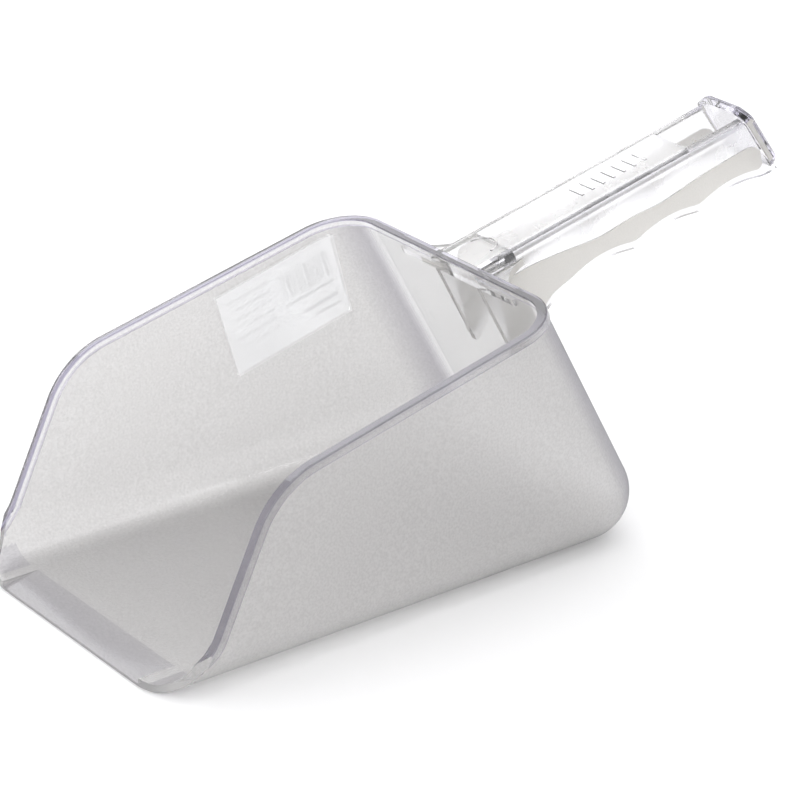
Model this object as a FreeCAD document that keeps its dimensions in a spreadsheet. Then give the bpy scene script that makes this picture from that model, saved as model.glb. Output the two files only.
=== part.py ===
import FreeCAD, Part

import os
import re

import Sketcher

# Clear moulded ice scoop. The moulding's regions are separate solids that meet face to face.
# Frame: the origin is the middle of the flat floor face that it rests on, +Z is up,
# +Y runs to the handle, the mouth is at -Y, and +X is the left hand of someone holding it.

DIMENSIONS = {
    # Bowl outline, outside faces
    "back_foot": 126.5,  # y where the back wall would meet the floor
    "back_lean": 0.521,  # the back wall leans forward by this much per mm of height
    "half_width": 67.55,  # half the width at the origin's height and place
    "toe_out": 0.0153,  # the side walls open toward the mouth, per mm
    "draft": 0.007,  # and open upward, per mm
    "wall_thick": 2.8,
    "floor_thick": 3.0,
    "corner_radius": 20.0,  # upright back corners
    "edge_radius": 18.0,  # round bottom edges
    # Rim, mouth and lip. The rim is straight, then it sweeps down the sides to the floor.
    "rim_zero": 84.57,  # rim height above the origin
    "tub_spare": 45.0,  # the tub is made this much too tall, then cut to the rim's slope
    "rim_slope": 0.2331,  # the rim rises this much per mm toward the handle
    "mouth_foot": -88.9,  # y where the straight of the side's sweep would meet the floor
    "mouth_lean": 0.494,  # and how much it leans back per mm of height
    "mouth_radius": 36.0,  # round at the top of the sweep
    "sweep_radius": 23.0,  # hollow at its foot
    "sweep_low": 10.0,  # height of the sweep's low run behind the nose
    "sweep_end": -92.3,  # y of that height
    "sweep_slope": 0.25,
    "nose_radius": 4.5,
    "lip_front": -96.9,
    "lip_back": -82.0,  # the bevel on the floor starts here
    "lip_edge": 1.0,  # thickness left at the lip's front
    "lip_half": 46.0,  # half the width of the bevel
    "corner_start": 54.0,  # seen from above, the lip's corners are cut off and rounded
    "corner_side": 71.0,
    "corner_back": -80.1,
    "corner_sweep": 25.0,
    "bead_depth": 3.8,  # the rim's thicker band
    "bead_proud": 0.9,
    # Lines where the moulding is divided
    "flank": 48.0,
    "back_depth": 33.0,
    "edge_top": 18.5,
    # Handle, in its own frame: y along it, z square to its top
    "handle_tilt": 13.12,
    "handle_half": 14.0,
    "handle_reach": 160.0,  # past the end cap, before the handle is trimmed to it
    "cheek_thick": 2.8,
    "web_top": -2.0,
    "web_thick": 3.0,
    "shoulder": 4.0,
    "hole_half": 10.0,
    "hole_start": 105.0,
    "cap_start": 131.1,  # y of the end cap's inner face at the web's top
    "cap_tilt": 21.6,
    "cap_half": 14.8,
    "cap_crown": 3.0,  # the cap stands this far above the web
    "cap_flat": 8.88,  # half the width of the cap's flat top
    "cap_slope": 4.0,  # its shoulders drop this far to its sides
    "cap_drop": 27.0,
    "cap_thick": 4.6,
    "cap_corner": 4.0,
    "cap_round": 2.6,
    "grip_low": -28.5,  # lowest line of the cheeks' finger scallops
    "scallop_radius": 47.0,
    "scallop_depth": 3.0,
    "scallop_first": 55.0,
    "scallop_pitch": 32.2,
    "scallop_blend": 12.0,
    "root_knee": 28.0,  # y where the cheek's lower edge turns down the back wall
    "root_low": -46.0,
    "root_run": 10.0,  # the level run before the knee
    "root_dip": 1.6,  # the knee lies this much below the scallops' lowest line
    "root_fall": 16.0,  # how far back toward the bowl the edge runs as it drops
    "root_blend": 22.0,
    "shelf_top": -6.3,
    "shelf_thick": 3.0,
    "shelf_radius": 20.0,
    "shelf_half": 34.0,
    "shelf_reach": 23.0,
    "bridge_reach": 18.0,
    # Small features
    "panel_proud": 0.5,
    "panel_margin": 3.4,
    "panel_tip": 7.0,
    "panel_run": 4.0,
    "panel_fall": 12.0,
    "panel_foot": 5.4,
    "panel_start": 12.5,
    "mark_proud": 0.4,
    "gate_radius": 6.5,
    "gate_width": 0.9,
    "gate_place": 12.0,
    "bar_start": 58.0,
    "bar_width": 1.2,
    "bar_pitch": 5.2,
    "bar_half": 4.0,
    "bar_count": 7,
    # Price label, on the outside of the right wall
    "label_length": 55.0,
    "label_height": 36.0,
    "label_thick": 0.2,
    "label_y": 42.3,
    "label_z": 69.5,
    "label_tilt": 15.0,
    "label_radius": 3.0,
}

FAR = "200"  # beyond every face, for cutting tools

doc = FreeCAD.newDocument("ice_scoop")
sheet = doc.addObject("Spreadsheet::Sheet", "dims")
for row, (alias, value) in enumerate(DIMENSIONS.items(), start=1):
    sheet.set("A%d" % row, alias)
    sheet.set("B%d" % row, str(value))
    sheet.setAlias("B%d" % row, alias)
doc.recompute()


def expression(text):
    """The text with each dimension's name written as the sheet's cell."""
    return re.sub(r"[a-z_]+", lambda word: cell(word.group()), text)


def cell(word):
    return "dims." + word if word in DIMENSIONS else word


def number(text):
    """What an expression comes to, in mm."""
    return float(sheet.evalExpression(expression(text)))


def bind(thing, place, text):
    thing.setExpression(place, expression(text))


# Builders


def new_body(name):
    return doc.addObject("PartDesign::Body", name)


def origin_plane(body, role):
    return next(plane for plane in body.Origin.OriginFeatures if plane.Role == role)


def outline(body, role, points, lift=None):
    """A closed sketch of straight runs whose corners are tied to the sheet."""
    sketch = body.newObject("Sketcher::SketchObject", body.Name + "_outline")
    sketch.AttachmentSupport = [(origin_plane(body, role), "")]
    sketch.MapMode = "FlatFace"
    if lift:
        bind(sketch, "AttachmentOffset.Base.z", lift)
    corners = [FreeCAD.Vector(number(a), number(b), 0) for a, b in points]
    for place, corner in enumerate(corners):
        following = corners[(place + 1) % len(corners)]
        sketch.addGeometry(Part.LineSegment(corner, following))
    for place in range(len(corners)):
        after = (place + 1) % len(corners)
        sketch.addConstraint(Sketcher.Constraint("Coincident", place, 2, after, 1))
    for place, (across, up) in enumerate(points):
        for kind, text, value in (
            ("DistanceX", across, corners[place].x),
            ("DistanceY", up, corners[place].y),
        ):
            index = sketch.addConstraint(Sketcher.Constraint(kind, -1, 1, place, 1, value))
            bind(sketch, "Constraints[%d]" % index, text)
    return sketch


def pad(body, sketch, length, midplane=False):
    feature = body.newObject("PartDesign::Pad", body.Name + "_pad")
    feature.Profile = sketch
    bind(feature, "Length", length)
    feature.Midplane = midplane
    doc.recompute()
    return feature


def edges_where(feature, test):
    """Names of the edges whose middle point passes the test."""
    names = []
    for place, edge in enumerate(feature.Shape.Edges, start=1):
        middle = edge.valueAt((edge.FirstParameter + edge.LastParameter) / 2)
        if test(edge, middle):
            names.append("Edge%d" % place)
    return names


def rounded(body, feature, names, radius):
    fillet = body.newObject("PartDesign::Fillet", body.Name + "_round")
    fillet.Base = (feature, names)
    bind(fillet, "Radius", radius)
    doc.recompute()
    return fillet


def near(point, across, up):
    """True where a point lies on a line square to a sketch in the YZ plane."""
    return abs(point.y - number(across)) < 0.01 and abs(point.z - number(up)) < 0.01


def boolean(kind, name, base, tool):
    made = doc.addObject("Part::" + kind, name)
    made.Base = base
    made.Tool = tool
    doc.recompute()
    return made


def cut(name, base, tool):
    return boolean("Cut", name, base, tool)


def common(name, base, tool):
    return boolean("Common", name, base, tool)


def block(name, low, high):
    """A box between two corners, each given as three expressions."""
    box = doc.addObject("Part::Box", name)
    for side, start, end in zip(("Length", "Width", "Height"), low, high):
        bind(box, side, "(%s) - (%s)" % (end, start))
    for axis, start in zip("xyz", low):
        bind(box, "Placement.Base." + axis, start)
    doc.recompute()
    return box


# Bowl


def tub(name, grow, floor):
    """The bowl's form, filled, with its faces moved outward by grow."""
    body = new_body(name)
    front = "-(%s)" % FAR
    back = "back_foot - back_lean * (%s) + (%s) * sqrt(1 + back_lean ^ 2)" % (floor, grow)
    half = "half_width + draft * (%s) + (%s) - toe_out * (%%s)" % (floor, grow)
    points = [
        ("-(%s)" % (half % front), front),
        (half % front, front),
        (half % back, back),
        ("-(%s)" % (half % back), back),
    ]
    form = pad(body, outline(body, "XY_Plane", points, lift=floor), "rim_zero + tub_spare")
    form = leaned(body, form, lambda face: abs(face.CenterOfMass.x) > 50, "-atan(draft)")
    form = leaned(body, form, lambda face: face.CenterOfMass.y > 50, "atan(back_lean)")
    corners = edges_where(form, lambda edge, middle: middle.y > 0 and edge.BoundBox.ZLength > 100)
    form = rounded(body, form, corners, "corner_radius + (%s)" % grow)
    low = number(floor) + 0.01
    bottom = edges_where(form, lambda edge, middle: middle.z < low and middle.y > 1 - number(FAR))
    rounded(body, form, bottom, "edge_radius + (%s)" % grow)
    return body


def leaned(body, feature, test, angle):
    """Tilts the faces that pass the test about the foot of the form."""
    faces = list(enumerate(feature.Shape.Faces, start=1))
    foot = min(faces, key=lambda item: item[1].CenterOfMass.z)
    draft = body.newObject("PartDesign::Draft", body.Name + "_draft")
    draft.Base = (feature, ["Face%d" % place for place, face in faces if test(face)])
    draft.NeutralPlane = (feature, ["Face%d" % foot[0]])
    bind(draft, "Angle", angle)
    doc.recompute()
    return draft


def mouth_tool(name, depth):
    """Everything above and in front of the rim line, lowered into the bowl by depth."""
    body = new_body(name)
    rim = "rim_zero - (%s) * sqrt(1 + rim_slope ^ 2)" % depth
    foot = "mouth_foot + (%s) * sqrt(1 + mouth_lean ^ 2)" % depth
    top_z = "((%s) + rim_slope * (%s)) / (1 - rim_slope * mouth_lean)" % (rim, foot)
    top_y = "(%s) + mouth_lean * (%s)" % (foot, top_z)
    run = "sweep_low - sweep_slope * sweep_end"
    low_z = "((%s) + sweep_slope * (%s)) / (1 - sweep_slope * mouth_lean)" % (run, foot)
    low_y = "(%s) + mouth_lean * (%s)" % (foot, low_z)
    nose_z = "(%s) + sweep_slope * lip_front" % run
    points = [
        (FAR, "(%s) + rim_slope * (%s)" % (rim, FAR)),
        (top_y, top_z),
        (low_y, low_z),
        ("lip_front", nose_z),
        ("lip_front", "-20"),
        ("-2 * (%s)" % FAR, "-20"),
        ("-2 * (%s)" % FAR, FAR),
        (FAR, FAR),
    ]
    form = pad(body, outline(body, "YZ_Plane", points), FAR, midplane=True)
    for across, up, radius in (
        (top_y, top_z, "mouth_radius - (%s)" % depth),
        (low_y, low_z, "sweep_radius + (%s)" % depth),
        ("lip_front", nose_z, "nose_radius"),
    ):
        form = rounded(body, form, edges_where(form, lambda edge, middle: near(middle, across, up)), radius)
    return body


def back_zone():
    """The slab of space that holds the back wall and its corners."""
    body = new_body("back_zone")
    start = "back_foot - back_depth - back_lean * (%s)"
    points = [
        (start % "-20", "-20"),
        (FAR, "-20"),
        (FAR, FAR),
        (start % FAR, FAR),
    ]
    pad(body, outline(body, "YZ_Plane", points), FAR, midplane=True)
    return body


def side_zones():
    left = block("left_zone", ("flank", "-" + FAR, "-20"), (FAR, FAR, FAR))
    right = block("right_zone", ("-" + FAR, "-" + FAR, "-20"), ("-flank", FAR, FAR))
    middle = block("middle_zone", ("-flank", "-" + FAR, "-20"), ("flank", FAR, FAR))
    return {"left": left, "right": right, "middle": middle}


def lip_corners():
    """The space inside the lip's rounded corners."""
    body = new_body("lip_corners")
    points = [
        ("-corner_start", "lip_front"),
        ("corner_start", "lip_front"),
        ("corner_side", "corner_back"),
        ("corner_side", FAR),
        ("-corner_side", FAR),
        ("-corner_side", "corner_back"),
    ]
    form = pad(body, outline(body, "XY_Plane", points, lift="-20"), FAR)
    front = number("lip_front")
    corners = edges_where(
        form, lambda edge, middle: edge.BoundBox.ZLength > 100 and abs(middle.y - front) < 0.01
    )
    rounded(body, form, corners, "corner_sweep")
    return body


def lip_bevel():
    """The wedge that thins the floor toward the lip."""
    body = new_body("lip_bevel")
    points = [
        ("lip_back", "floor_thick"),
        ("lip_front - 1", "lip_edge - (floor_thick - lip_edge) / (lip_back - lip_front)"),
        ("lip_front - 1", "30"),
        ("lip_back", "30"),
    ]
    pad(body, outline(body, "YZ_Plane", points), "2 * lip_half", midplane=True)
    return body


def bowl_pieces():
    """The bowl's regions by name, and the filled form that the handle is cut against."""
    mouth = mouth_tool("mouth", "0")
    under_bead = mouth_tool("under_bead", "bead_depth")
    cavity = tub("cavity", "-wall_thick", "floor_thick")
    inside = lip_corners()
    plain = common("plain_shell", cut("square_shell", tub("filled_bowl", "0", "0"), cavity), inside)
    banded = tub("banded_bowl", "bead_proud", "0")
    thick = common("thick_shell", cut("square_thick_shell", banded, cavity), inside)
    back = back_zone()
    sides = side_zones()
    walls = cut("walls", plain, under_bead)
    band = common("band", thick, under_bead)
    rim = cut("rim", band, mouth)

    walls_back = common("walls_back", walls, back)
    walls_front = cut("walls_front", walls, back)
    rim_back = common("rim_back", rim, back)
    rim_front = cut("rim_front", rim, back)
    low = block("low_zone", ("-" + FAR, "-" + FAR, "-20"), (FAR, FAR, "edge_top"))
    lip_zone = block("lip_zone", ("-" + FAR, "-" + FAR, "-20"), (FAR, "lip_back", FAR))

    floor = common("floor_blank", walls_front, sides["middle"])
    pieces = {
        "floor_plate": cut("floor_plate", floor, lip_zone),
        "front_lip": cut("front_lip", common("lip_blank", floor, lip_zone), lip_bevel()),
    }
    back_middle = common("back_middle", walls_back, sides["middle"])
    pieces["back_bottom_edge"] = common("back_bottom_edge", back_middle, low)
    pieces["back_wall"] = cut("back_wall", back_middle, low)
    pieces["back_rim"] = common("back_rim", rim_back, sides["middle"])
    for side in ("left", "right"):
        flank = common(side + "_flank", walls_front, sides[side])
        pieces[side + "_bottom_edge"] = common(side + "_bottom_edge", flank, low)
        pieces[side + "_side_wall"] = cut(side + "_side_wall", flank, low)
        pieces[side + "_back_corner"] = common(side + "_back_corner", walls_back, sides[side])
        pieces[side + "_rim"] = common(side + "_rim", rim_front, sides[side])
        pieces[side + "_rim_corner"] = common(side + "_rim_corner", rim_back, sides[side])
    return pieces, cut("handle_stop", banded, mouth)


# Handle. Its frame starts where the rim's top meets the outside of the back.

ROOT_Y = "(back_foot + bead_proud * sqrt(1 + back_lean ^ 2) - back_lean * rim_zero)"
ROOT_Y += " / (1 + back_lean * rim_slope)"
ROOT_Z = "rim_zero + rim_slope * " + ROOT_Y
CHEEK_HALF = "handle_half - cheek_thick"
SHELF_LOW = "shelf_top - shelf_thick"


def set_in_handle(thing, along="0", above="0", turn="0"):
    """Places a body in the handle's frame, moved along and above, and leaned back by turn."""
    angle = FreeCAD.Rotation(FreeCAD.Vector(1, 0, 0), number("handle_tilt + " + turn))
    thing.Placement = FreeCAD.Placement(FreeCAD.Vector(0, 0, 0), angle)
    run = "(%s) * cos(handle_tilt) - (%s) * sin(handle_tilt)" % (along, above)
    rise = "(%s) * sin(handle_tilt) + (%s) * cos(handle_tilt)" % (along, above)
    bind(thing, "Placement.Base.y", "%s + %s" % (ROOT_Y, run))
    bind(thing, "Placement.Base.z", "%s + %s" % (ROOT_Z, rise))
    bind(thing, "Placement.Rotation.Angle", "handle_tilt + " + turn)
    doc.recompute()


def circles(body, role, spots, lift=None):
    """A sketch of circles, each given by its centre and its radius."""
    sketch = body.newObject("Sketcher::SketchObject", body.Name + "_circles")
    sketch.AttachmentSupport = [(origin_plane(body, role), "")]
    sketch.MapMode = "FlatFace"
    if lift:
        bind(sketch, "AttachmentOffset.Base.z", lift)
    for place, (across, up, radius) in enumerate(spots):
        centre = FreeCAD.Vector(number(across), number(up), 0)
        sketch.addGeometry(Part.Circle(centre, FreeCAD.Vector(0, 0, 1), number(radius)))
        for rule, text in (
            (Sketcher.Constraint("DistanceX", -1, 1, place, 3, centre.x), across),
            (Sketcher.Constraint("DistanceY", -1, 1, place, 3, centre.y), up),
            (Sketcher.Constraint("Radius", place, number(radius)), radius),
        ):
            bind(sketch, "Constraints[%d]" % sketch.addConstraint(rule), text)
    return sketch


def pocket(body, sketch):
    """Cuts the sketch right through the body, both ways."""
    feature = body.newObject("PartDesign::Pocket", body.Name + "_pocket")
    feature.Profile = sketch
    feature.Type = 1
    feature.Midplane = True
    before = body.Shape.Volume
    doc.recompute()
    assert body.Shape.Volume < before, body.Name + ": a pocket cuts nothing"
    return feature


def row_along(body, feature, length, count):
    """Repeats a feature along the body's own Y axis."""
    row = body.newObject("PartDesign::LinearPattern", body.Name + "_row")
    row.Originals = [feature]
    row.Direction = (next(axis for axis in body.Origin.OriginFeatures if axis.Role == "Y_Axis"), [""])
    bind(row, "Length", length)
    bind(row, "Occurrences", count)
    body.Tip = row
    doc.recompute()
    return row


def scallops(body, margin="0"):
    """Finger hollows along the cheek's lower edge, each cut by a large circle."""
    spot = (
        "scallop_first",
        "grip_low + scallop_depth - scallop_radius",
        "scallop_radius + (%s)" % margin,
    )
    first = pocket(body, circles(body, "YZ_Plane", [spot]))
    return row_along(body, first, "2 * scallop_pitch", "3")


def between_fingers(point):
    """True at the two ridges between finger hollows."""
    for place in ("0.5", "1.5"):
        if abs(point.y - number("scallop_first + %s * scallop_pitch" % place)) < 0.5:
            return abs(point.z - number("grip_low")) < 1
    return False


def top_web():
    """The flat top with its round shoulders, and the hanging hole between its far rails."""
    body = new_body("top_web_blank")
    section = [
        ("-handle_half", "shelf_top"),
        ("-handle_half", "web_top"),
        ("handle_half", "web_top"),
        ("handle_half", "shelf_top"),
        (CHEEK_HALF, "shelf_top"),
        (CHEEK_HALF, "web_top - web_thick"),
        ("-(%s)" % CHEEK_HALF, "web_top - web_thick"),
        ("-(%s)" % CHEEK_HALF, "shelf_top"),
    ]
    form = pad(body, outline(body, "XZ_Plane", section, lift="5"), "handle_reach")
    form.Reversed = True
    doc.recompute()
    top = number("web_top")
    shoulders = edges_where(
        form, lambda edge, middle: abs(middle.z - top) < 0.01 and edge.BoundBox.YLength > 50
    )
    rounded(body, form, shoulders, "shoulder")
    hole = [
        ("-hole_half", "hole_start"),
        ("hole_half", "hole_start"),
        ("hole_half", "handle_reach"),
        ("-hole_half", "handle_reach"),
    ]
    pocket(body, outline(body, "XY_Plane", hole))
    set_in_handle(body)
    return body


def cheek(side, start):
    """One upright side of the handle, which runs into the back wall as a fan-shaped rib."""
    body = new_body(side + "_cheek_blank")
    points = [
        ("-5", "shelf_top"),
        ("handle_reach", "shelf_top"),
        ("handle_reach", "grip_low"),
        ("root_knee + root_run", "grip_low"),
        ("root_knee", "grip_low - root_dip"),
        ("root_knee - root_fall", "root_low"),
        ("-5", "root_low"),
    ]
    form = pad(body, outline(body, "YZ_Plane", points, lift=start), "cheek_thick")
    knee = edges_where(form, lambda edge, middle: near(middle, "root_knee", "grip_low - root_dip"))
    rounded(body, form, knee, "root_blend")
    form = scallops(body)
    tips = edges_where(form, lambda edge, middle: edge.BoundBox.XLength > 1 and between_fingers(middle))
    rounded(body, form, tips, "scallop_blend")
    set_in_handle(body)
    return body


def end_cap():
    """The leaning end wall, a little larger than the grip, with a rounded outer face."""
    body = new_body("end_cap")
    points = [
        ("-cap_half", "-cap_drop"),
        ("cap_half", "-cap_drop"),
        ("cap_half", "cap_crown - cap_slope"),
        ("cap_flat", "cap_crown"),
        ("-cap_flat", "cap_crown"),
        ("-cap_half", "cap_crown - cap_slope"),
    ]
    form = pad(body, outline(body, "XZ_Plane", points), "cap_thick")
    form.Reversed = True
    doc.recompute()
    upright = edges_where(form, lambda edge, middle: edge.BoundBox.YLength > 0.9 * number("cap_thick"))
    form = rounded(body, form, upright, "cap_corner")
    outer = edges_where(form, lambda edge, middle: edge.BoundBox.YMin > 0.99 * number("cap_thick"))
    rounded(body, form, outer, "cap_round")
    set_in_handle(body, "cap_start", "web_top", "cap_tilt")
    return body


def cap_zone():
    """The space from the end cap's inner face outward."""
    body = new_body("cap_zone")
    corner = [("-60", "-90"), ("60", "-90"), ("60", "60"), ("-60", "60")]
    form = pad(body, outline(body, "XZ_Plane", corner), "90")
    form.Reversed = True
    set_in_handle(body, "cap_start", "web_top", "cap_tilt")
    return body


def root_shelf(side, sign):
    """The thin level plate beside the cheek, with a hollow curved edge."""
    body = new_body(side + "_root_shelf_blank")
    points = [
        (sign + "handle_half", "-5"),
        (sign + "shelf_half", "-5"),
        (sign + "shelf_half", "shelf_reach"),
        (sign + "handle_half", "shelf_reach"),
    ]
    pad(body, outline(body, "XY_Plane", points, lift=SHELF_LOW), "shelf_thick")
    spot = (sign + "(handle_half + shelf_radius)", "shelf_reach", "shelf_radius")
    pocket(body, circles(body, "XY_Plane", [spot]))
    set_in_handle(body)
    return body


def root_bridge():
    """The level plate between the cheeks, under the web's root."""
    body = new_body("root_bridge_blank")
    points = [
        ("-(%s)" % CHEEK_HALF, "-5"),
        (CHEEK_HALF, "-5"),
        (CHEEK_HALF, "bridge_reach"),
        ("-(%s)" % CHEEK_HALF, "bridge_reach"),
    ]
    height = "(web_top - web_thick) - (%s)" % SHELF_LOW
    pad(body, outline(body, "XY_Plane", points, lift=SHELF_LOW), height)
    set_in_handle(body)
    return body


def grip_panel(side, start):
    """The slightly raised textured panel on a cheek's outer face."""
    body = new_body(side + "_grip_panel_blank")
    points = [
        ("6", "-11.5"),
        ("22", "-10.6"),
        ("38", "-12.6"),
        ("56", "-15.3"),
        ("72", "-14.2"),
        ("86", "-15.6"),
        ("106", "-13.4"),
        ("136.5", "-12.9"),
        ("136.5", "grip_low + panel_margin"),
        ("root_knee + panel_run", "grip_low + panel_margin"),
        ("root_knee - panel_fall", "root_low + panel_foot"),
        ("panel_start", "root_low + panel_foot"),
    ]
    form = pad(body, outline(body, "YZ_Plane", points, lift=start), "panel_proud")
    tip = edges_where(form, lambda edge, middle: near(middle, "136.5", "-12.9"))
    rounded(body, form, tip, "panel_tip")
    scallops(body, "panel_margin")
    set_in_handle(body)
    return body


def web_bars():
    """A row of short raised bars across the web."""
    body = new_body("web_bars")
    points = [
        ("-bar_half", "bar_start"),
        ("bar_half", "bar_start"),
        ("bar_half", "bar_start + bar_width"),
        ("-bar_half", "bar_start + bar_width"),
    ]
    first = pad(body, outline(body, "XY_Plane", points, lift="web_top"), "mark_proud")
    row_along(body, first, "(bar_count - 1) * bar_pitch", "bar_count")
    set_in_handle(body)
    return body


def gate_mark():
    """A half ring raised on the web's root, where the mould fills."""
    body = new_body("gate_mark")
    form = pad(
        body,
        circles(body, "XY_Plane", [("0", "gate_place", "gate_radius")], lift="web_top"),
        "mark_proud",
    )
    pocket(body, circles(body, "XY_Plane", [("0", "gate_place", "gate_radius - gate_width")]))
    half = [("-60", "-60"), ("60", "-60"), ("60", "gate_place"), ("-60", "gate_place")]
    pocket(body, outline(body, "XY_Plane", half))
    set_in_handle(body)
    return body


def handle_pieces(stop):
    """The handle's regions by name, each trimmed to the bowl and to the end cap."""
    far = cap_zone()
    blanks = {
        "top_web": top_web(),
        "left_cheek": cheek("left", CHEEK_HALF),
        "right_cheek": cheek("right", "-handle_half"),
        "root_bridge": root_bridge(),
        "left_root_shelf": root_shelf("left", ""),
        "right_root_shelf": root_shelf("right", "-"),
        "left_grip_panel": grip_panel("left", "handle_half"),
        "right_grip_panel": grip_panel("right", "-handle_half - panel_proud"),
    }
    pieces = {}
    for name, blank in blanks.items():
        pieces[name] = cut(name, cut(name + "_rooted", blank, stop), far)
    pieces["end_cap"] = end_cap()
    pieces["web_bars"] = web_bars()
    pieces["gate_mark"] = gate_mark()
    return pieces


# Label


def price_label():
    """A sheet with rounded corners that lies on the outside of the right wall."""
    body = new_body("price_label")
    points = [
        ("-0.5 * label_length", "-0.5 * label_height"),
        ("0.5 * label_length", "-0.5 * label_height"),
        ("0.5 * label_length", "0.5 * label_height"),
        ("-0.5 * label_length", "0.5 * label_height"),
    ]
    form = pad(body, outline(body, "XY_Plane", points), "label_thick")
    corners = edges_where(form, lambda edge, middle: edge.BoundBox.ZLength > 0.1)
    corners = [name for name in corners if form.Shape.getElement(name).BoundBox.DiagonalLength < 1]
    rounded(body, form, corners, "label_radius")
    tilt = FreeCAD.Rotation(FreeCAD.Vector(1, 0, 0), number("label_tilt"))
    outward = FreeCAD.Vector(-1, number("toe_out"), -number("draft")).normalize()
    along = tilt.multVec(FreeCAD.Vector(0, -1, 0))
    along = (along - outward * along.dot(outward)).normalize()
    wall_x = number("-(half_width - toe_out * label_y + draft * label_z)")
    centre = FreeCAD.Vector(wall_x, number("label_y"), number("label_z"))
    turn = FreeCAD.Rotation(along, outward.cross(along), outward, "ZXY")
    body.Placement = FreeCAD.Placement(centre, turn)
    doc.recompute()
    return body


# Build, check and write

pieces, stop = bowl_pieces()
pieces.update(handle_pieces(stop))
pieces["price_label"] = price_label()
doc.recompute()

faults = [item.Name for item in doc.Objects if {"Invalid", "Error"} & set(item.State)]
for name, item in pieces.items():
    item.Label = name
    if item.Shape.isNull() or not item.Shape.isValid() or not item.Shape.Solids:
        faults.append(name)
if faults:
    raise RuntimeError("not whole: " + ", ".join(faults))

os.makedirs("parts", exist_ok=True)
for name, item in pieces.items():
    item.Shape.exportStep("parts/%s.step" % name)
    print("%-20s %d solid(s) %10.1f mm3" % (name, len(item.Shape.Solids), item.Shape.Volume))
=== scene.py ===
import math

import bmesh
import bpy
from mathutils import Matrix, Vector
from mathutils.bvhtree import BVHTree


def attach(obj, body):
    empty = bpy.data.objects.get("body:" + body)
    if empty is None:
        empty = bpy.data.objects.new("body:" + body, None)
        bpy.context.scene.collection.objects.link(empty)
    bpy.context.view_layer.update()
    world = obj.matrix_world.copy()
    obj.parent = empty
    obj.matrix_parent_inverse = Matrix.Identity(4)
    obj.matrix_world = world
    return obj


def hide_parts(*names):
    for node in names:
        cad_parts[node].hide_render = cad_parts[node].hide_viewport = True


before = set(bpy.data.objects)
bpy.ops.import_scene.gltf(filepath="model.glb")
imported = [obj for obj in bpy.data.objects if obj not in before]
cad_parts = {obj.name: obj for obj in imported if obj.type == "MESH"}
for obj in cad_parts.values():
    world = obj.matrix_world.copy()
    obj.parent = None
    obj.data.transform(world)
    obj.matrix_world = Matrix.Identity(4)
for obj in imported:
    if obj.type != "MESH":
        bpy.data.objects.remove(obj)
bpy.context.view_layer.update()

MM = 0.001

# All measures are in mm and angles in radians, as far as the studio at the end. Those of the bowl, lip,
# rim, handle, cap and root are the CAD model's. Cuts, overlaps and parts buried in others are this
# script's own.

# Bowl and mouth

BACK_FOOT = 126.5
BACK_LEAN = 0.521
HALF_WIDTH = 67.55
TOE_OUT = 0.0153
DRAFT = 0.007
WALL = 2.8
FLOOR = 3.0
CORNER_RADIUS = 20.0
EDGE_RADIUS = 18.0
RIM_ZERO = 84.57
RIM_SLOPE = 0.2331
MOUTH_FOOT = -88.9
MOUTH_LEAN = 0.494
MOUTH_RADIUS = 36.0
SWEEP_RADIUS = 23.0
SWEEP_LOW = 10.0
SWEEP_END = -92.3
SWEEP_SLOPE = 0.25
NOSE_RADIUS = 4.5
NOSE_LOW = -5.0

# Lip, with its bevel and its cut corners

LIP_FRONT = -96.9
LIP_BACK = -82.0
LIP_EDGE = 1.0
LIP_HALF = 46.0
FLOOR_MARGIN = 0.2
CORNER_START = 54.0
CORNER_SIDE = 71.0
CORNER_BACK = -80.1
CORNER_SWEEP = 25.0
CORNER_KNEE = 0.5
CUT_LEAD = 20.0
CUT_SIDE = 90.0
CUT_FRONT = -130.0
CUT_LOW = -5.0
CUT_HIGH = 40.0

# Rim bead

BEAD_DEPTH = 3.8
BEAD_PROUD = 0.9

# Handle, in its own frame

HANDLE_TILT = math.radians(13.12)
HANDLE_START = -6.0
HANDLE_HALF = 14.0
CHEEK = 2.8
WEB_TOP = -2.0
WEB = 3.0
OVERLAP = 0.5
SHOULDER = 4.0
HOLLOW_ROUND = 1.2
HOLE_HALF = 10.0
HOLE_START = 105.0
HOLE_END = 180.0
HOLE_CORNER = 1.5
HOLE_LOW = -12.0
HOLE_HIGH = 4.0

# End cap

CAP_START = 131.1
HANDLE_END = CAP_START + 20
CAP_TILT = math.radians(21.6)
CAP_HALF = 14.8
CAP_FLAT = 0.6 * CAP_HALF
CAP_SLOPE = 4.0
CAP_CROWN = 3.0
CAP_DROP = 27.0
CAP_THICK = 4.6
CAP_CORNER = 4.0
CAP_ROUND = 2.6
CAP_CHAMFER = 0.3
CAP_BURIED = 1.5

# Lower edge of the grip, and how far its bends are softened

GRIP_LOW = -28.5
SCALLOP_RADIUS = 47.0
SCALLOP_DEPTH = 3.0
SCALLOP_FIRST = 55.0
SCALLOP_PITCH = 32.2
SCALLOP_COUNT = 3
ROOT_KNEE = 28.0
ROOT_FALL = 16.0
ROOT_RUN = 10.0
ROOT_DIP = 1.6
ROOT_LOW = -46.0
ROOT_BURIED = 8.0
ROOT_SOFT = 9.0
ROOT_SOFT_END = 40.0
RIDGE_SOFT = 5.0

# Root shelves and bridge

SHELF_TOP = -6.3
SHELF = 3.0
SHELF_RADIUS = 20.0
SHELF_HALF = 34.0
SHELF_REACH = 23.0
BRIDGE_REACH = 18.0

# Textured panels, with an outline a little longer and softer than the CAD model's

PANEL_PROUD = 0.5
PANEL_MARGIN = 3.4
PANEL_START = 9.0
PANEL_END = 136.5
PANEL_TIP = 7.0
PANEL_FOOT = 4.0
PANEL_LEAD = 3.0
PANEL_SOFT = 12.0
PANEL_STEP = 1.0
PANEL_BURIED = 0.4

# Raised marks on the web

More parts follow.
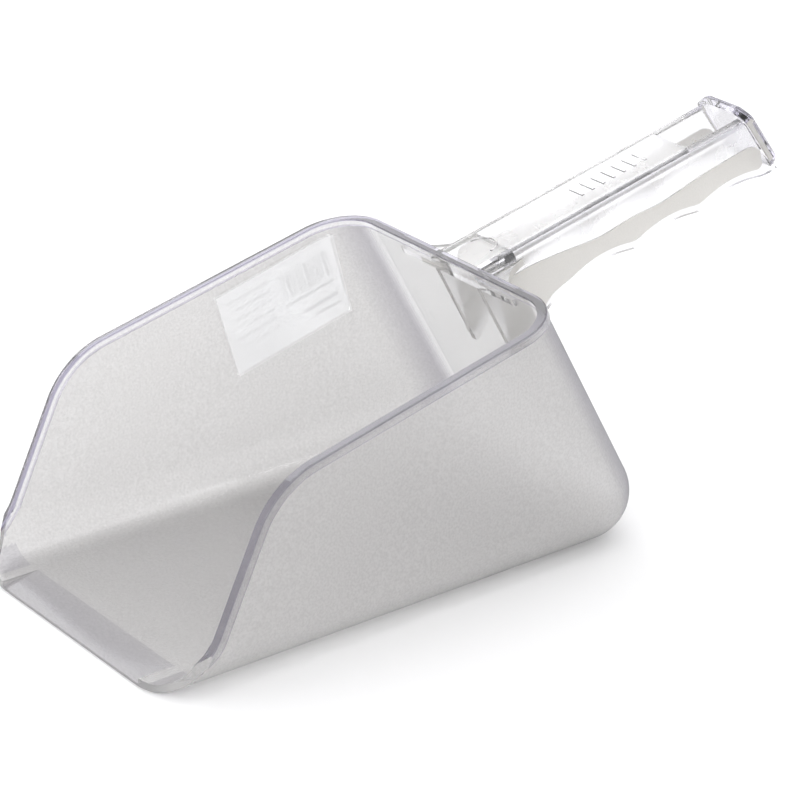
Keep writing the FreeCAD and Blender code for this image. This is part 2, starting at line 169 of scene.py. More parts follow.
MARK_PROUD = 0.4
MARK_BURIED = 0.3
BAR_COUNT = 7
BAR_START = 58.0
BAR_PITCH = 5.2
BAR_WIDTH = 1.2
BAR_HALF = 4.0
RING_RADIUS = 6.5
RING_WIDTH = 0.9
RING_Y = 12.0

# Small rounds, in mm

RIM_ROUND = 0.55
STEP_ROUND = 0.7
LIP_ROUND = 0.4
EDGE_ROUND = 0.35
PANEL_ROUND = 0.18
MARK_ROUND = 0.15
PAPER_ROUND = 0.03

# Worked out from these: K lengthens a step square to a leaning plane into one along y or z

BACK_K = math.sqrt(1 + BACK_LEAN ** 2)
RIM_K = math.sqrt(1 + RIM_SLOPE ** 2)
SIDE_NORMAL = Vector((1, TOE_OUT, -DRAFT)).normalized()
BACK_NORMAL = Vector((0, 1, BACK_LEAN)).normalized()
AXIS = SIDE_NORMAL.cross(BACK_NORMAL).normalized()
ROOT_Y = (BACK_FOOT + BEAD_PROUD * BACK_K - BACK_LEAN * RIM_ZERO) / (1 + BACK_LEAN * RIM_SLOPE)
ROOT_Z = RIM_ZERO + RIM_SLOPE * ROOT_Y

# How finely the skins are drawn, and how close points are merged

ARC_STEPS = 18
CORNER_STEPS = 20
MOUTH_STEPS = 24
WALL_ROWS = 6
SECTION_GAP = 8.0
SOFT_STEPS = 8
HANDLE_STEP = 1.25
CAP_STEPS = 7
BOWL_WELD = 0.002
BOWL_SPECK = 0.001
HANDLE_WELD = 0.003
HANDLE_FLAT = math.radians(0.3)
SHARP_ANGLE = math.radians(38)


# The mouth's line in the YZ plane


def arc(centre, radius, start, end, steps):
    """Points from angle start to angle end about a centre."""
    turn = [start + (end - start) * i / steps for i in range(steps + 1)]
    return [(centre[0] + radius * math.cos(a), centre[1] + radius * math.sin(a)) for a in turn]


def rounded_path(corners, radii, steps):
    """An open path through the corners, with an arc of the given radius at each inner one."""
    path = [corners[0]]
    for before, corner, after, radius in zip(corners, corners[1:], corners[2:], radii):
        here = Vector(corner)
        back = (Vector(before) - here).normalized()
        ahead = (Vector(after) - here).normalized()
        half = back.angle(ahead) / 2
        middle = here + (back + ahead).normalized() * radius / math.sin(half)
        first = here + back * radius / math.tan(half)
        last = here + ahead * radius / math.tan(half)
        spin = (first - middle).angle_signed(last - middle) * -1
        start = math.atan2(first.y - middle.y, first.x - middle.x)
        path += arc(middle, radius, start, start + spin, steps)
    return path + [corners[-1]]


def mouth_line(depth, far_y):
    """The rim's line from far_y to the nose, lowered square to itself by depth."""
    rim = RIM_ZERO - depth * RIM_K
    foot = MOUTH_FOOT + depth * math.sqrt(1 + MOUTH_LEAN ** 2)
    top_z = (rim + RIM_SLOPE * foot) / (1 - RIM_SLOPE * MOUTH_LEAN)
    run = SWEEP_LOW - SWEEP_SLOPE * SWEEP_END
    low_z = (run - depth + SWEEP_SLOPE * foot) / (1 - SWEEP_SLOPE * MOUTH_LEAN)
    nose_z = run - depth + SWEEP_SLOPE * LIP_FRONT
    corners = [
        (far_y, rim + RIM_SLOPE * far_y),
        (foot + MOUTH_LEAN * top_z, top_z),
        (foot + MOUTH_LEAN * low_z, low_z),
        (LIP_FRONT, nose_z),
        (LIP_FRONT, NOSE_LOW),
    ]
    radii = (MOUTH_RADIUS - depth, SWEEP_RADIUS + depth, NOSE_RADIUS)
    return rounded_path(corners, radii, MOUTH_STEPS)[:-1]


# The bowl's skins: grow is how far a skin lies outside the outer wall


def side_x(grow, floor, y, z):
    """Half the skin's width at a place on its side or bottom edge."""
    radius = EDGE_RADIUS + grow
    middle = floor + radius
    slant = math.sqrt(1 + TOE_OUT ** 2 + DRAFT ** 2)
    foot_z = middle + radius * SIDE_NORMAL.z
    if z >= foot_z:
        return HALF_WIDTH + grow + DRAFT * z - TOE_OUT * y
    out = math.sqrt(max(radius ** 2 - (middle - z) ** 2, 0))
    flat = Vector((1, TOE_OUT, 0)).normalized()
    centre_y = y - out * flat.y
    centre_x = HALF_WIDTH + grow + DRAFT * middle - TOE_OUT * centre_y - radius * slant
    return centre_x + out * flat.x


def corner_station(grow, floor, share, tops):
    """Points up the skin at one place round the back corner, up to each of the rim's lowered planes."""
    radius = EDGE_RADIUS + grow
    corner = CORNER_RADIUS + grow
    normal = SIDE_NORMAL.slerp(BACK_NORMAL, share)
    middle = floor + radius
    axis_z = middle - (corner - radius) * normal.z
    axis_y = BACK_FOOT + (grow - corner) * BACK_K - BACK_LEAN * axis_z
    slant = math.sqrt(1 + TOE_OUT ** 2 + DRAFT ** 2)
    axis_x = HALF_WIDTH + grow - corner * slant + DRAFT * axis_z - TOE_OUT * axis_y
    centre = Vector((axis_x, axis_y, axis_z)) + (corner - radius) * normal
    flat = Vector((normal.x, normal.y, 0)).normalized()
    full = math.acos(-normal.z)
    points = []
    for i in range(ARC_STEPS + 1):
        turn = full * i / ARC_STEPS
        points.append(centre + radius * (flat * math.sin(turn) - Vector((0, 0, 1)) * math.cos(turn)))
    foot = points[-1]
    up = AXIS if AXIS.z > 0 else -AXIS
    ends = []
    for lowered in tops:
        level = RIM_ZERO - lowered * RIM_K
        run = (level + RIM_SLOPE * foot.y - foot.z) / (up.z - RIM_SLOPE * up.y)
        ends.append(foot + up * run)
    for i in range(1, WALL_ROWS):
        points.append(foot.lerp(ends[0], i / WALL_ROWS))
    return points, ends


def side_station(grow, floor, low_y, high):
    """Points up the skin on the straight side, from low_y at the floor to the place high."""
    radius = EDGE_RADIUS + grow
    middle = floor + radius
    foot_z = middle + radius * SIDE_NORMAL.z
    top_y, top_z = high
    full = math.acos((middle - min(top_z, foot_z)) / radius)
    points = []
    for i in range(ARC_STEPS + 1):
        z = middle - radius * math.cos(full * i / ARC_STEPS)
        points.append(Vector((side_x(grow, floor, low_y, z), low_y, z)))
    foot = points[-1]
    for i in range(1, WALL_ROWS):
        share = i / WALL_ROWS
        y = foot.y + (top_y - foot.y) * share
        z = foot.z + (top_z - foot.z) * share
        points.append(Vector((side_x(grow, floor, y, z), y, z)))
    return points


def rounded_corner(corner, one, other, radius, steps=4):
    """Points of a small round at a corner, from the face that leaves along one to the other."""
    centre = corner + (one + other) * radius
    turns = [math.pi / 2 * i / steps for i in range(steps + 1)]
    return [centre - other * radius * math.cos(t) - one * radius * math.sin(t) for t in turns]


def corner_stations():
    """Sections of the bowl's wall from the back's middle round the left corner."""
    stations = []
    for i in range(CORNER_STEPS + 1):
        share = 1 - i / CORNER_STEPS
        outer, (step_in,) = corner_station(0, 0, share, (BEAD_DEPTH,))
        step_out, rim_out = corner_station(BEAD_PROUD, 0, share, (BEAD_DEPTH, 0))[1]
        inner, (rim_in,) = corner_station(-WALL, FLOOR, share, (0,))
        stations.append((outer, step_in, step_out, rim_out, rim_in, inner))
    return stations


def fanned(path, first_y):
    """The floor's y for each place on a path, so that sections fan out evenly."""
    below = [y for y, z in path if z < EDGE_RADIUS]
    meet = max(below) if below else path[-1][0]
    start = path[0][0]
    result = []
    for y, z in path:
        if z < EDGE_RADIUS:
            result.append(y)
        else:
            result.append(meet + (y - meet) * (first_y - meet) / (start - meet))
    return result


def between(one, other, share):
    """The point at a share of the way from one point to the other."""
    return [a + (b - a) * share for a, b in zip(one, other)]


def side_stations(corner_end):
    """Sections of the left side wall, from the end of the corner to the nose."""
    outer_end, step_out_end, rim_out_end, inner_end = [corner_end[i] for i in (0, 2, 3, 5)]
    rim_path = mouth_line(0, rim_out_end.y)
    low_path = mouth_line(BEAD_DEPTH, step_out_end.y)
    floor_out = fanned(low_path, outer_end[0].y)
    floor_in = fanned(rim_path, inner_end[0].y)
    stations = []
    for before in range(len(rim_path) - 1):
        after = before + 1
        # long straight stretches get a few sections between their ends
        pieces = max(1, int(math.dist(rim_path[before], rim_path[after]) / SECTION_GAP))
        for j in range(1, pieces + 1):
            share = j / pieces
            rim = between(rim_path[before], rim_path[after], share)
            low = between(low_path[before], low_path[after], share)
            if rim[1] < FLOOR + FLOOR_MARGIN or low[1] < FLOOR_MARGIN:
                continue
            out_y = floor_out[before] + (floor_out[after] - floor_out[before]) * share
            in_y = floor_in[before] + (floor_in[after] - floor_in[before]) * share
            outer = side_station(0, 0, out_y, low)
            inner = side_station(-WALL, FLOOR, in_y, rim)
            step_in = Vector((side_x(0, 0, *low), *low))
            step_out = Vector((side_x(BEAD_PROUD, 0, *low), *low))
            rim_out = Vector((side_x(BEAD_PROUD, 0, *rim), *rim))
            rim_in = Vector((side_x(-WALL, FLOOR, *rim), *rim))
            stations.append((outer, step_in, step_out, rim_out, rim_in, inner))
    return stations


def ring_of(station):
    """The whole run of points of one section, with its small rounds."""
    outer, step_in, step_out, rim_out, rim_in, inner = station
    up_bead = (rim_out - step_out).normalized()
    across = (step_out - step_in).normalized()
    top = (rim_in - rim_out).normalized()
    down_in = (inner[-1] - rim_in).normalized()
    ring = list(outer)
    ring.append(step_in)
    ring += rounded_corner(step_out, -across, up_bead, STEP_ROUND, 3)
    ring += rounded_corner(rim_out, -up_bead, top, RIM_ROUND)
    ring += rounded_corner(rim_in, -top, down_in, RIM_ROUND)
    ring += list(reversed(inner))
    return ring


def mesh_object(name, bm):
    """A new object in the scene that holds the finished mesh."""
    mesh = bpy.data.meshes.new(name)
    bm.to_mesh(mesh)
    bm.free()
    made = bpy.data.objects.new(name, mesh)
    bpy.context.scene.collection.objects.link(made)
    return made


def bowl():
    """The bowl as one closed skin."""
    stations = corner_stations()
    stations += side_stations(stations[-1])
    half = [ring_of(station) for station in stations]
    rings = [[Vector((-p.x, p.y, p.z)) for p in ring] for ring in reversed(half)] + half
    bm = bmesh.new()
    rows = [[bm.verts.new(p * MM) for p in ring] for ring in rings]
    for ring, following in zip(rows, rows[1:]):
        for i in range(len(ring) - 1):
            bm.faces.new((ring[i], following[i], following[i + 1], ring[i + 1]))
    # bottom
    bm.faces.new([ring[0] for ring in rows][::-1])
    # inside floor, with the lip's ramp let into its front
    left, right = rows[-1], rows[0]
    ramp = ((LIP_HALF, LIP_FRONT), (LIP_HALF, LIP_BACK), (-LIP_HALF, LIP_BACK), (-LIP_HALF, LIP_FRONT))
    high = [bm.verts.new(Vector((x, y, FLOOR)) * MM) for x, y in ramp]
    low = [bm.verts.new(Vector((x, LIP_FRONT, LIP_EDGE)) * MM) for x in (LIP_HALF, -LIP_HALF)]
    bm.faces.new([ring[-1] for ring in rows] + high)
    bm.faces.new((high[1], low[0], low[1], high[2]))
    bm.faces.new((high[0], low[0], high[1]))
    bm.faces.new((high[2], low[1], high[3]))
    # front
    bm.faces.new(right[::-1] + left + [high[0], low[0], low[1], high[3]])
    bmesh.ops.remove_doubles(bm, verts=bm.verts, dist=BOWL_WELD * MM)
    bmesh.ops.dissolve_degenerate(bm, edges=bm.edges, dist=BOWL_SPECK * MM)
    bmesh.ops.recalc_face_normals(bm, faces=bm.faces)
    return mesh_object("bowl", bm)


# The handle, in its own frame: x across, y along it, z square to its top

FROM_GRIP = Matrix.Translation(Vector((0, ROOT_Y, ROOT_Z)) * MM) @ Matrix.Rotation(HANDLE_TILT, 4, "X")
TO_GRIP = FROM_GRIP.inverted()


def loft(name, rings):
    """A closed solid through rings of equal count, with a flat face at each end."""
    bm = bmesh.new()
    rows = [[bm.verts.new(Vector(p) * MM) for p in ring] for ring in rings]
    for ring, following in zip(rows, rows[1:]):
        for i, point in enumerate(ring):
            after = (i + 1) % len(ring)
            bm.faces.new((point, ring[after], following[after], following[i]))
    bm.faces.new(rows[0][::-1])
    bm.faces.new(rows[-1])
    bmesh.ops.recalc_face_normals(bm, faces=bm.faces)
    return mesh_object(name, bm)


def prism(name, axis, outline, low, high, edge=0.0):
    """An outline drawn square to an axis and drawn out along it; edge rounds its high rim."""
    order = {"x": lambda a, b, c: (c, a, b), "z": lambda a, b, c: (a, b, c)}
    place = order[axis]
    made = loft(name, [[place(a, b, end) for a, b in outline] for end in (low, high)])
    if edge:
        bevel(made, edge, 2)
    return made


def applied(thing):
    """Makes a thing's modifiers part of its mesh."""
    graph = bpy.context.evaluated_depsgraph_get()
    mesh = bpy.data.meshes.new_from_object(thing.evaluated_get(graph))
    thing.modifiers.clear()
    thing.data = mesh
    return thing


def combined(base, tool, operation="UNION"):
    """Adds a tool to a base, or takes it away, and removes the tool."""
    modifier = base.modifiers.new("join", "BOOLEAN")
    modifier.operation = operation
    modifier.solver = "EXACT"
    modifier.object = tool
    applied(base)
    bpy.data.objects.remove(tool)
    return base


def bevel(thing, width, segments, limit=35):
    """Rounds the edges that turn by more than a limit, in degrees; the width is in mm."""
    modifier = thing.modifiers.new("edges", "BEVEL")
    modifier.width = width * MM
    modifier.segments = segments
    modifier.limit_method = "ANGLE"
    modifier.angle_limit = math.radians(limit)
    modifier.use_clamp_overlap = True
    return applied(thing)


def trimmed(thing, point, normal):
    """Cuts off everything on the normal's side of a plane, in mm, and closes the cut."""
    bm = bmesh.new()
    bm.from_mesh(thing.data)
    every = bm.verts[:] + bm.edges[:] + bm.faces[:]
    bmesh.ops.bisect_plane(
        bm, geom=every, dist=1e-7, plane_co=Vector(point) * MM, plane_no=Vector(normal), clear_outer=True)
    open_edges = [edge for edge in bm.edges if edge.is_boundary]
    bmesh.ops.holes_fill(bm, edges=open_edges, sides=0)
    bmesh.ops.recalc_face_normals(bm, faces=bm.faces)
    bm.to_mesh(thing.data)
    bm.free()
    return thing


def raw_grip_low(along):
    """The cheek's lower edge before its ridges are softened."""
    if along < ROOT_KNEE - ROOT_FALL:
        return ROOT_LOW
    if along < ROOT_KNEE:
        return ROOT_LOW + (along - ROOT_KNEE + ROOT_FALL) / ROOT_FALL * (GRIP_LOW - ROOT_DIP - ROOT_LOW)
    if along < ROOT_KNEE + ROOT_RUN:
        return GRIP_LOW - ROOT_DIP * (ROOT_KNEE + ROOT_RUN - along) / ROOT_RUN
    best = GRIP_LOW
    for i in range(SCALLOP_COUNT):
        across = along - SCALLOP_FIRST - i * SCALLOP_PITCH
        if abs(across) < SCALLOP_RADIUS:
            drop = math.sqrt(SCALLOP_RADIUS ** 2 - across ** 2) - SCALLOP_RADIUS
            best = max(best, GRIP_LOW + SCALLOP_DEPTH + drop)
    return best


def soft(line, along, reach):
    """A line's value, averaged over a short reach with more weight near the middle."""
    total = weight_sum = 0.0
    for i in range(-SOFT_STEPS, SOFT_STEPS + 1):
        weight = math.exp(-((2 * i / SOFT_STEPS) ** 2))
        total += weight * line(along + reach * i / SOFT_STEPS)
        weight_sum += weight
    return total / weight_sum


def grip_low(along):
    """The cheek's lower edge: three finger scallops with soft ridges between them."""
    return soft(raw_grip_low, along, ROOT_SOFT if along < ROOT_SOFT_END else RIDGE_SOFT)


def round_polygon(points, radius, inset=0.0, steps=6):
    """A convex outline with round corners, drawn inward by inset."""
    result = []
    count = len(points)
    for i in range(count):
        here = Vector(points[i])
        back = (Vector(points[i - 1]) - here).normalized()
        ahead = (Vector(points[(i + 1) % count]) - here).normalized()
        half = back.angle(ahead) / 2
        middle = here + (back + ahead).normalized() * radius / math.sin(half)
        first = here + back * radius / math.tan(half) - middle
        last = here + ahead * radius / math.tan(half) - middle
        start = math.atan2(first.y, first.x)
        spin = math.atan2(last.y, last.x) - start
        spin = (spin + math.pi) % (2 * math.pi) - math.pi
        result += arc(middle, radius - inset, start, start + spin, steps)
    return result


def grip():
    """The hollow channel with its finger scallops, open below."""
    inner = HANDLE_HALF - CHEEK
    shoulder = arc((HANDLE_HALF - SHOULDER, WEB_TOP - SHOULDER), SHOULDER, 0, math.pi / 2, 8)
    under = WEB_TOP - WEB
    hollow = arc((inner - HOLLOW_ROUND, under - HOLLOW_ROUND), HOLLOW_ROUND, 0, math.pi / 2, 4)
    rings = []
    along = HANDLE_START
    while along < HANDLE_END:
        low = grip_low(along)
        right = [(HANDLE_HALF, low)] + shoulder
        left = [(-x, z) for x, z in reversed(right)]
        inside = [(inner, low)] + hollow
        inside_left = [(-x, z) for x, z in inside]
        section = right + left + inside_left + list(reversed(inside))
        rings.append([(x, along, z) for x, z in section])
        along += HANDLE_STEP
    return loft("grip", rings)


def end_cap():
    """The leaning plate that closes the handle, with a round rim on its far face."""
    outline = [
        (-CAP_HALF, -CAP_DROP),
        (CAP_HALF, -CAP_DROP),
        (CAP_HALF, CAP_CROWN - CAP_SLOPE),
        (CAP_FLAT, CAP_CROWN),
        (-CAP_FLAT, CAP_CROWN),
        (-CAP_HALF, CAP_CROWN - CAP_SLOPE),
    ]
    profile = [(CAP_CHAMFER, 0.0), (0.0, CAP_CHAMFER)]
    for i in range(CAP_STEPS + 1):
        turn = math.pi / 2 * i / CAP_STEPS
        profile.append((CAP_ROUND * (1 - math.cos(turn)), CAP_THICK - CAP_ROUND * (1 - math.sin(turn))))
    rings = []
    for inset, depth in profile:
        rings.append([(x, depth, z) for x, z in round_polygon(outline, CAP_CORNER, inset)])
    cap = loft("cap", rings)
    foot = Matrix.Translation(Vector((0, CAP_START, WEB_TOP)) * MM)
    cap.data.transform(foot @ Matrix.Rotation(CAP_TILT, 4, "X"))
    return cap


def shelf(sign):
    """The thin level plate beside the cheek at its root, with a hollow curved edge."""
    inner = HANDLE_HALF - 2 * OVERLAP
    curve = arc((SHELF_HALF, SHELF_REACH), SHELF_RADIUS, -math.pi / 2, -math.pi, 18)
    outline = [(inner, -ROOT_BURIED), (SHELF_HALF, -ROOT_BURIED)] + curve + [(inner, SHELF_REACH)]
    outline = [(sign * x, y) for x, y in outline]
    return prism("shelf", "z", outline, SHELF_TOP - SHELF, SHELF_TOP)


def half_ring(radius, width, middle, steps=20):
    """The outline of a flat half ring."""
    outer = arc((0, middle), radius, 0, math.pi, steps)
    inner = arc((0, middle), radius - width, math.pi, 0, steps)
    return outer + inner


PANEL_TOP = [
    (6, -11.5),
    (22, -10.6),
    (38, -12.6),
    (56, -15.3),
    (72, -14.2),
    (86, -15.6),
    (106, -13.4),
    (150, -12.9),
]


def raw_panel_top(along):
    """The panel's upper edge before its bends are softened."""
    for (a, low), (b, high) in zip(PANEL_TOP, PANEL_TOP[1:]):
        if along <= b:
            return low + (high - low) * (along - a) / (b - a)
    return PANEL_TOP[-1][1]


def panel(sign):
    """The slightly raised textured panel on a cheek's outer face."""
    top, bottom = [], []
    along = PANEL_START
    while along < PANEL_END:
        past = max(0.0, along - (PANEL_END - PANEL_TIP))
        lead = max(0.0, PANEL_START + PANEL_LEAD - along)
        tip = math.sqrt(PANEL_TIP ** 2 - past ** 2)
        rise = math.sqrt(PANEL_LEAD ** 2 - lead ** 2)
        high = soft(raw_panel_top, along, PANEL_SOFT)
        high -= PANEL_TIP - tip + PANEL_LEAD - rise
        past = max(0.0, along - (PANEL_END - PANEL_FOOT))
        low = grip_low(along) + PANEL_MARGIN
        low += PANEL_FOOT - math.sqrt(PANEL_FOOT ** 2 - past ** 2)
        top.append((along, high))
        bottom.append((along, low))
        along += PANEL_STEP if along < PANEL_END - PANEL_TIP else PANEL_STEP / 2
    outline = bottom + top[::-1]
    ends = sorted((sign * (HANDLE_HALF - PANEL_BURIED), sign * (HANDLE_HALF + PANEL_PROUD)))
    return prism("panel", "x", outline, *ends, edge=PANEL_ROUND)


def rectangle(low_x, low_y, high_x, high_y):
    """The four corners of a rectangle."""
    return [(low_x, low_y), (high_x, low_y), (high_x, high_y), (low_x, high_y)]


def box(name, low, high, edge=0.0):
    """An upright block between two opposite corners."""
    return prism(name, "z", rectangle(*low[:2], *high[:2]), low[2], high[2], edge)


def web_marks():
    """The raised half ring and the row of bars on the web."""
    low, high = WEB_TOP - MARK_BURIED, WEB_TOP + MARK_PROUD
    marks = [prism("ring", "z", half_ring(RING_RADIUS, RING_WIDTH, RING_Y), low, high, edge=MARK_ROUND)]
    for i in range(BAR_COUNT):
        start = BAR_START + BAR_PITCH * i
        end = start + BAR_WIDTH
        marks.append(box("bar", (-BAR_HALF, start, low), (BAR_HALF, end, high), edge=MARK_ROUND))
    return marks


def handle():
    """The whole handle in its place, cut off inside the bowl's back wall."""
    made = grip()
    hole = round_polygon(rectangle(-HOLE_HALF, HOLE_START, HOLE_HALF, HOLE_END), HOLE_CORNER)
    combined(made, prism("hole", "z", hole, HOLE_LOW, HOLE_HIGH), "DIFFERENCE")
    for sign in (1, -1):
        combined(made, shelf(sign))
    inner = HANDLE_HALF - CHEEK + OVERLAP
    low = (-inner, -ROOT_BURIED, SHELF_TOP - SHELF)
    combined(made, box("bridge", low, (inner, BRIDGE_REACH, WEB_TOP - WEB + OVERLAP)))
    away = Matrix.Rotation(CAP_TILT, 3, "X") @ Vector((0, 1, 0))
    trimmed(made, Vector((0, CAP_START, WEB_TOP)) + away * CAP_BURIED, away)
    combined(made, end_cap())
    bm = bmesh.new()
    bm.from_mesh(made.data)
    bmesh.ops.remove_doubles(bm, verts=bm.verts, dist=HANDLE_WELD * MM)
    bmesh.ops.dissolve_limit(bm, angle_limit=HANDLE_FLAT, verts=bm.verts, edges=bm.edges)
    bm.to_mesh(made.data)
    bm.free()
    bevel(made, EDGE_ROUND, 2)
    for mark in [panel(1), panel(-1)] + web_marks():
        combined(made, mark)
    made.data.transform(FROM_GRIP)
    trimmed(made, Vector((0, BACK_FOOT, 0)) - BACK_NORMAL * WALL / 2, -BACK_NORMAL)
    return made


# The bowl's cutting tool


def lip_corner(sign):
    """What is cut away outside one of the lip's corners, seen from above."""
    corners = [
        (CORNER_START - CUT_LEAD, LIP_FRONT),
        (CORNER_START, LIP_FRONT),
        (CORNER_SIDE, CORNER_BACK),
        (CUT_SIDE, CORNER_BACK),
    ]
    path = rounded_path(corners, (CORNER_SWEEP, CORNER_KNEE), 16)
    outline = path[1:] + [(CUT_SIDE, CUT_FRONT), (path[1][0], CUT_FRONT)]
    return prism("corner", "z", [(sign * x, y) for x, y in outline], CUT_LOW, CUT_HIGH)


# Price label: a paper sheet on the outside of the right wall, printed with plain bars and lines

LABEL_LENGTH = 55.0
LABEL_HEIGHT = 36.0
LABEL_Y = 42.3
LABEL_Z = 69.5
LABEL_TILT = math.radians(15)
LABEL_CORNER = 3.0

# The sheet lies just off the wall; its glue reaches nearly to its edges

LABEL_GAP = 0.06
LABEL_THICK = 0.12
GLUE_MARGIN = 0.4
GLUE_DEPTH = 6.0

# Its print: heights above the paper, a block of upright bars, then rows of short runs

PRINT_LOW = 0.005
PRINT_HIGH = 0.02
PRINT_LEFT = -24.0
PRINT_TOP = 11.5
BLOCK_FOOT = 0.5
BLOCK_COUNT = 16
BLOCK_WIDTHS = (0.5, 0.9, 0.5, 1.4)
BLOCK_GAPS = (0.6, 1.0, 0.6)
ROW_LEFT = 4.0
ROW_PITCH = 4.0
ROW_HIGH = 0.9
ROW_ENDS = (24, 20, 22, 16, 23, 12)
RUN_LENGTHS = (2.6, 4.2, 1.8, 3.4)
RUN_GAP = 0.9

# How it is bent onto the wall

BEND_LENGTHWAYS = 1.0
BEND_UPWARD = 1.5
RAY_START = 5.0
RAY_REACH = 12.0


def label_frame():
    """The label's own directions and its middle on the wall, in mm."""
    outward = Vector((-1, TOE_OUT, -DRAFT)).normalized()
    along = Matrix.Rotation(LABEL_TILT, 3, "X") @ Vector((0, -1, 0))
    along = (along - outward * along.dot(outward)).normalized()
    up = outward.cross(along)
    centre = Vector((-(HALF_WIDTH - TOE_OUT * LABEL_Y + DRAFT * LABEL_Z), LABEL_Y, LABEL_Z))
    return along, up, outward, centre


def print_marks():
    """The label's print as (left, bottom, right, top) bars: an upright block, rows and short lines."""
    marks = []
    across = PRINT_LEFT
    for i in range(BLOCK_COUNT):
        width = BLOCK_WIDTHS[(i * 7 + i // 3) % len(BLOCK_WIDTHS)]
        marks.append((across, BLOCK_FOOT, across + width, PRINT_TOP))
        across += width + BLOCK_GAPS[i % len(BLOCK_GAPS)]
    marks.append((PRINT_LEFT, -2.5, -1.0, -1.3))
    for row, end in enumerate(ROW_ENDS):
        foot = PRINT_TOP - ROW_PITCH * row
        start = ROW_LEFT
        while start < end:
            run = RUN_LENGTHS[(row * 3 + int(start)) % len(RUN_LENGTHS)]
            marks.append((start, foot, min(start + run, end), foot + ROW_HIGH))
            start += run + RUN_GAP
    marks.append((PRINT_LEFT, -9.0, -8.0, -7.2))
    marks.append((PRINT_LEFT, -12.5, -12.0, -11.2))
    return marks


def label(wall):
    """The printed label, bent onto the wall."""
    along, up, outward, centre = label_frame()
    place = Matrix((along, up, outward)).transposed().to_4x4()
    place.translation = centre * MM
    half_length, half_height = LABEL_LENGTH / 2, LABEL_HEIGHT / 2
    outline = round_polygon(rectangle(-half_length, -half_height, half_length, half_height), LABEL_CORNER)
    face = LABEL_GAP + LABEL_THICK
    sheet = prism("label", "z", outline, LABEL_GAP, face, edge=PAPER_ROUND)
    sheet.data.materials.append(paper())
    print_ink = ink()
    pieces = [sheet]
    for sides in print_marks():
        mark = prism("mark", "z", rectangle(*sides), face + PRINT_LOW, face + PRINT_HIGH)
        mark.data.materials.append(print_ink)
        pieces.append(mark)
    joined(pieces)
    sliced(sheet, Vector((1, 0, 0)), -half_length, 0.0, BEND_LENGTHWAYS)
    sliced(sheet, Vector((0, 1, 0)), -half_height, half_height, BEND_UPWARD)
    sheet.data.transform(place)
    press_on(sheet, wall, centre, outward)
    return sheet


def sliced(thing, axis, start, end, step):
    """Cuts a mesh across an axis into strips, in mm, so that it can bend."""
    bm = bmesh.new()
    bm.from_mesh(thing.data)
    for i in range(1, round((end - start) / step)):
        every = bm.verts[:] + bm.edges[:] + bm.faces[:]
        place = axis * (start + i * step) * MM
        bmesh.ops.bisect_plane(bm, geom=every, dist=1e-8, plane_co=place, plane_no=axis)
    bm.to_mesh(thing.data)
    bm.free()


def press_on(sheet, wall, centre, outward):
    """Moves each point of a flat sheet in until the sheet lies on the wall."""
    points = [vertex.co for vertex in wall.data.vertices]
    tree = BVHTree.FromPolygons(points, [face.vertices for face in wall.data.polygons])
    for vertex in sheet.data.vertices:
        height = (vertex.co - centre * MM).dot(outward)
        start = vertex.co + outward * (RAY_START * MM - height)
        place = tree.ray_cast(start, -outward, RAY_REACH * MM)[0]
        if place is not None:
            vertex.co = place + outward * height


def joined(things):
    """Joins meshes into the first of them, keeping each one's material."""
    with bpy.context.temp_override(active_object=things[0], selected_editable_objects=things):
        bpy.ops.object.join()


# Materials: mark_zones writes the attributes satin, edge and rough, each from 0 to 1; edge is painted
# shade, how far a face is darkened to violet where the plastic is seen edge on

PLASTIC_IOR = 1.585
# Painted shade: the dark violet of rims, corners and edges seen edge on, standing in for dark
# surroundings refracted there; the violet hue is the plastic's own, the darkness is painted
PAINTED_EDGE_SHADE = (0.36, 0.34, 0.44)


def material(name):
    """A new material, its node tree and its shader node."""
    made = bpy.data.materials.new(name)
    made.use_nodes = True
    tree = made.node_tree
    return made, tree, tree.nodes["Principled BSDF"]


def noise(tree, scale, detail):
    """A noise that is fixed to the object; the scale is in cells per metre."""
    node = tree.nodes.new("ShaderNodeTexNoise")
    node.inputs["Scale"].default_value = scale
    node.inputs["Detail"].default_value = detail
    place = tree.nodes.new("ShaderNodeTexCoord")
    tree.links.new(place.outputs["Object"], node.inputs["Vector"])
    return node


def scaled(tree, source, low, high):
    """A value of 0 to 1 spread from low to high."""
    node = tree.nodes.new("ShaderNodeMapRange")
    node.inputs["To Min"].default_value = low
    node.inputs["To Max"].default_value = high
    tree.links.new(source, node.inputs["Value"])
    return node.outputs["Result"]


def math_node(tree, operation, *sources):
    """The result of one arithmetic step on numbers and sockets."""
    node = tree.nodes.new("ShaderNodeMath")
    node.operation = operation
    for socket, source in zip(node.inputs, sources):
        if isinstance(source, (int, float)):
            socket.default_value = source
        else:
            tree.links.new(source, socket)
    return node.outputs[0]


def tone_mix(tree, factor, low, high, blend="MIX"):
    """A colour between two tones by a factor; each of the three is a constant or a socket."""
    node = tree.nodes.new("ShaderNodeMix")
    node.data_type = "RGBA"
    node.blend_type = blend
    for socket, tone in ((node.inputs["A"], low), (node.inputs["B"], high)):
        if isinstance(tone, tuple):
            socket.default_value = (*tone, 1.0)
        else:
            tree.links.new(tone, socket)
    if isinstance(factor, float):
        node.inputs["Factor"].default_value = factor
    else:
        tree.links.new(factor, node.inputs["Factor"])
    return node.outputs["Result"]


def zone_value(tree, name):
    """One of the mesh's own attributes."""
    node = tree.nodes.new("ShaderNodeAttribute")
    node.attribute_name = name
    return node.outputs["Fac"]


def add_bump(tree, shader, height, distance, strength):
    """Gives a shader a fine relief; the distance is in metres."""
    bump = tree.nodes.new("ShaderNodeBump")
    bump.inputs["Distance"].default_value = distance
    bump.inputs["Strength"].default_value = strength
    tree.links.new(height, bump.inputs["Height"])
    tree.links.new(bump.outputs["Normal"], shader.inputs["Normal"])


